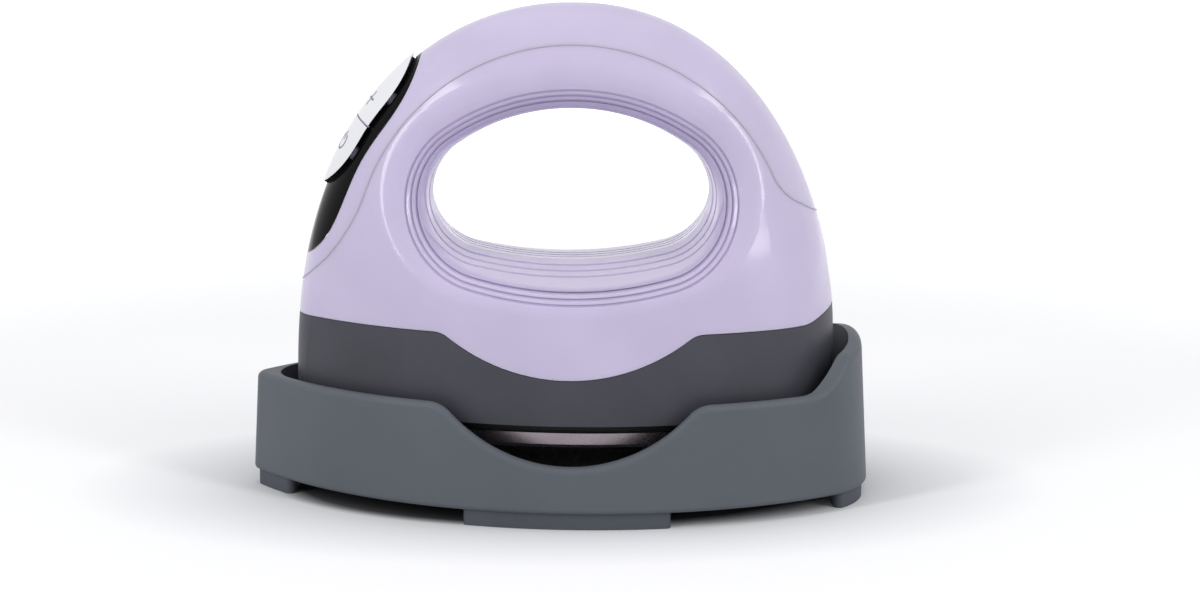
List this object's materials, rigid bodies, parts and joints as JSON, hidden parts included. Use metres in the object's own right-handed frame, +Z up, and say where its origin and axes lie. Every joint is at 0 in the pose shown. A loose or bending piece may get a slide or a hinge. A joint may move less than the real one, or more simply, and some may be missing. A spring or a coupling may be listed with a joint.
{
  "type": "mini handheld heat press with stand",
  "caption": "Palm-sized electric heat press with a looped handle, tip control keys and flat metal sole plate, resting in a boat-shaped stand.",
  "frame": {"origin": "middle of the stand's footprint, on the surface that it stands on", "axes": "+Z up, +X from the control tip towards the blunt heel with the cord inlet, +Y across the press towards its far side"},
  "size_m": [0.1324, 0.0788, 0.104],
  "materials": {
    "stand_plastic": "matte",
    "foot_rubber": "matte",
    "pad_silicone": "matte",
    "mat_fibre": "matte",
    "plate_metal": "satin",
    "seal_silicone": "matte",
    "heater_foil": "satin",
    "sheet_steel": "satin",
    "fibre_board": "matte",
    "post_brass": "satin",
    "screw_steel": "satin",
    "shell_plastic": "gloss",
    "lens_plastic": "gloss",
    "skirt_plastic": "matte",
    "gland_rubber": "matte",
    "key_plastic": "gloss",
    "keypad_silicone": "matte",
    "switch_plastic": "matte",
    "board_laminate": "matte",
    "display_plastic": "gloss",
    "relay_plastic": "gloss",
    "can_aluminium": "satin",
    "terminal_plastic": "matte",
    "fuse_glass": "gloss",
    "fuse_case": "satin",
    "sensor_case": "satin"
  },
  "bodies": {
    "stand": {"stand_tray": "stand_plastic", "stand_feet": "foot_rubber", "rest_pads": "pad_silicone", "heat_mat": "mat_fibre"},
    "press": {"heat_plate": "plate_metal", "plate_seal": "seal_silicone", "heating_element": "heater_foil", "clamp_plate": "sheet_steel", "insulation_board": "fibre_board", "heat_shield": "sheet_steel", "plate_standoffs": "post_brass", "plate_screws": "screw_steel", "side_shell_near": "shell_plastic", "side_shell_far": "shell_plastic", "top_cover": "shell_plastic", "control_lens": "lens_plastic", "lower_housing": "skirt_plastic", "shell_screws": "screw_steel", "housing_screws": "screw_steel", "cord_gland": "gland_rubber", "keypad_mat": "keypad_silicone", "tact_switches": "switch_plastic", "control_board": "board_laminate", "display_module": "display_plastic", "power_board": "board_laminate", "board_posts": "post_brass", "relay": "relay_plastic", "capacitor": "can_aluminium", "terminal_block": "terminal_plastic", "board_fuse": "fuse_glass", "thermal_fuse": "fuse_case", "temperature_sensor": "sensor_case"},
    "key_plus": {"key_plus": "key_plastic"},
    "key_minus": {"key_minus": "key_plastic"},
    "key_power": {"key_power": "key_plastic"},
    "key_timer": {"key_timer": "key_plastic"}
  },
  "joints": [
    {"name": "press_lift", "type": "slide", "parent": "stand", "child": "press", "axis": [0, 0, 1], "range_m": [0, 0.07]},
    {"name": "key_plus_press", "type": "slide", "parent": "press", "child": "key_plus", "axis": [0.809, 0, -0.5878], "range_m": [0, 0.0005], "stiffness_N_per_m": 1500},
    {"name": "key_minus_press", "type": "slide", "parent": "press", "child": "key_minus", "axis": [0.809, 0, -0.5878], "range_m": [0, 0.0005], "stiffness_N_per_m": 1500},
    {"name": "key_power_press", "type": "slide", "parent": "press", "child": "key_power", "axis": [0.809, 0, -0.5878], "range_m": [0, 0.0005], "stiffness_N_per_m": 1500},
    {"name": "key_timer_press", "type": "slide", "parent": "press", "child": "key_timer", "axis": [0.809, 0, -0.5878], "range_m": [0, 0.0005], "stiffness_N_per_m": 1500}
  ]
}
